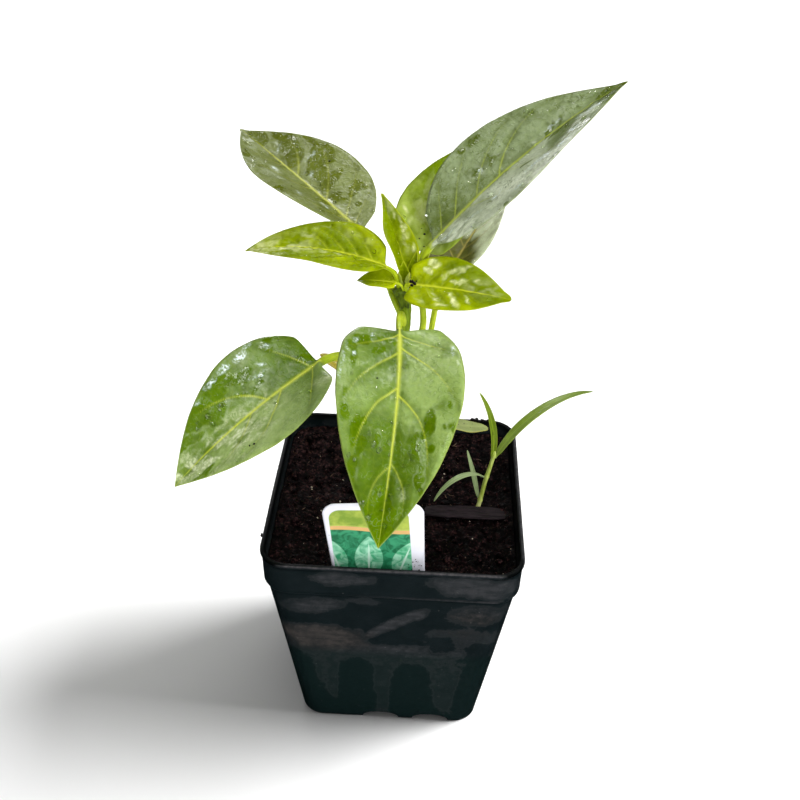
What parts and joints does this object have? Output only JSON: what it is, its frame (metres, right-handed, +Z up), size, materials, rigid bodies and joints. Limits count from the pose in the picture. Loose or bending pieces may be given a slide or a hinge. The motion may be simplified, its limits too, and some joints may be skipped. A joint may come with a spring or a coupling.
{
  "type": "potted sweet pepper plant",
  "caption": "Young sweet pepper plant with glossy wet leaves in a square black plastic nursery pot, with potting soil, a plain plant label, a bark strip and a grass seedling.",
  "frame": {"origin": "middle of the pot's underside, on the surface the pot stands on", "axes": "+Z up along the stem, +X to the viewer's right in the reference view, +Y away from the viewer; the label stands at the -Y wall"},
  "size_m": [0.1402, 0.139, 0.227],
  "materials": {
    "pot": "semi-matt moulded plastic with dried soil and water stains",
    "soil": "damp, rough, near-black potting compost",
    "label": "printed plastic tag, slightly glossy",
    "bark": "rough dark bark",
    "leaf": "waxy mature leaf, wet",
    "young_leaf": "waxy young leaf, wet, yellow-green",
    "cotyledon": "fading seed leaf, matt",
    "stem": "smooth ribbed green stem",
    "root": "pale fibrous root",
    "grass": "smooth grass blade"
  },
  "bodies": {
    "root": {"nursery_pot": "pot", "potting_soil": "soil", "plant_label": "label", "bark_strip": "bark", "main_stem": "stem", "growing_tip": "young_leaf", "root_system": "root", "leaf_upper_left": "leaf", "leaf_upper_right": "leaf", "leaf_lower_left": "leaf", "leaf_front": "leaf", "leaf_middle_left": "young_leaf", "leaf_small_left": "young_leaf", "leaf_upright": "young_leaf", "leaf_pale_back": "young_leaf", "leaf_olive_back": "leaf", "leaf_front_right": "young_leaf", "cotyledon_left": "cotyledon", "cotyledon_right": "cotyledon", "grass_culm": "grass", "grass_blade_right": "grass", "grass_blade_up": "grass", "grass_blade_drooping": "grass", "grass_blade_pale": "grass"}
  },
  "joints": []
}
